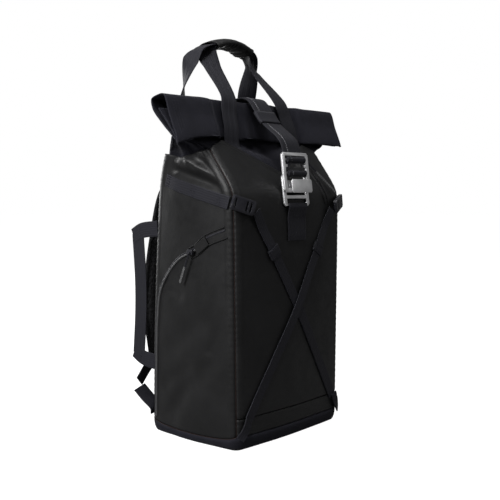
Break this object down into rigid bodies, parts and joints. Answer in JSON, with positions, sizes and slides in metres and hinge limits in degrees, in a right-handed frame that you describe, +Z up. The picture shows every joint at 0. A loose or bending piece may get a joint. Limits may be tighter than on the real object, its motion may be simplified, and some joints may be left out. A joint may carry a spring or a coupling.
{
  "type": "rolltop backpack",
  "caption": "Rolltop backpack in black coated cloth with a rolled canvas collar, a grip over two webbing handles, a metal hook buckle and crossed front straps.",
  "frame": {"origin": "middle of the flat base, on the surface that the bag stands on", "axes": "+Z up, -Y to the front with the buckle, +X to the right seen from the front"},
  "size_m": [0.452, 0.2944, 0.7197],
  "materials": {
    "coated_cloth": "matte coated",
    "canvas": "fine plain weave",
    "webbing": "ribbed webbing",
    "padding": "spacer mesh",
    "buckle_metal": "satin",
    "moulded": "moulded",
    "piping": "satin"
  },
  "bodies": {
    "root": {"side_panel_left": "coated_cloth", "side_panel_right": "coated_cloth", "front_panel": "coated_cloth", "front_hem": "coated_cloth", "back_panel": "coated_cloth", "base_boot": "canvas", "roll": "canvas", "collar": "canvas", "front_handle": "webbing", "rear_handle": "webbing", "handle_wrap": "coated_cloth", "centre_strap": "webbing", "strap_keeper": "webbing", "buckle_frame": "buckle_metal", "bar_wrap_upper": "webbing", "bar_wrap_lower": "webbing", "buckle_hook_plate": "buckle_metal", "buckle_lower_frame": "buckle_metal", "lower_strap": "webbing", "side_strip_left": "webbing", "side_strip_right": "webbing", "strap_clip_left": "moulded", "strap_clip_right": "moulded", "cross_strap_a": "webbing", "cross_strap_b": "webbing", "cross_slider_a": "webbing", "cross_slider_b": "webbing", "strap_anchor_left": "webbing", "strap_anchor_right": "webbing", "side_zip": "piping", "side_zip_garage": "coated_cloth", "side_zip_slider": "moulded", "side_zip_pull": "webbing", "front_zip": "piping", "front_zip_slider": "buckle_metal", "front_zip_pull": "webbing", "side_handle": "webbing", "back_pad": "padding", "shoulder_strap_left": "padding", "shoulder_web_left": "webbing", "strap_wing_left": "webbing", "shoulder_strap_right": "padding", "shoulder_web_right": "webbing", "strap_wing_right": "webbing"}
  },
  "joints": []
}
